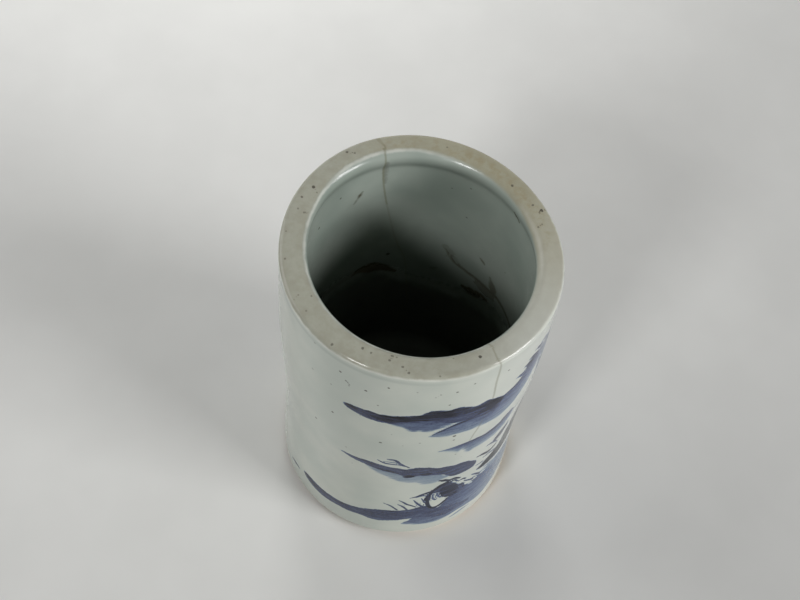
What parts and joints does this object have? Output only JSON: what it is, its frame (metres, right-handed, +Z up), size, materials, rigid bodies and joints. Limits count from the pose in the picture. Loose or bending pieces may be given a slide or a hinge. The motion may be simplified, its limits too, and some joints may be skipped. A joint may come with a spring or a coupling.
{
  "type": "brush pot",
  "caption": "Cylindrical blue-and-white porcelain brush pot with slightly waisted sides, a broad flat rim, a deep round well for brushes and an unglazed foot ring.",
  "frame": {"origin": "centre of the foot ring's resting plane", "axes": "+Z up along the pot's axis to the rim; +Y points to the far side in the picture and +X to its right"},
  "size_m": [0.091, 0.091, 0.138],
  "materials": {
    "biscuit": "matt fired porcelain, burnt orange at the bare foot",
    "outer_glaze": "glossy bluish-grey clear glaze over underglaze blue painting",
    "inner_glaze": "glossy pale blue-green glaze",
    "base_glaze": "glossy bluish-grey clear glaze"
  },
  "bodies": {
    "root": {"porcelain_body": "biscuit", "outer_glaze": "outer_glaze", "inner_glaze": "inner_glaze", "base_glaze": "base_glaze"}
  },
  "joints": []
}
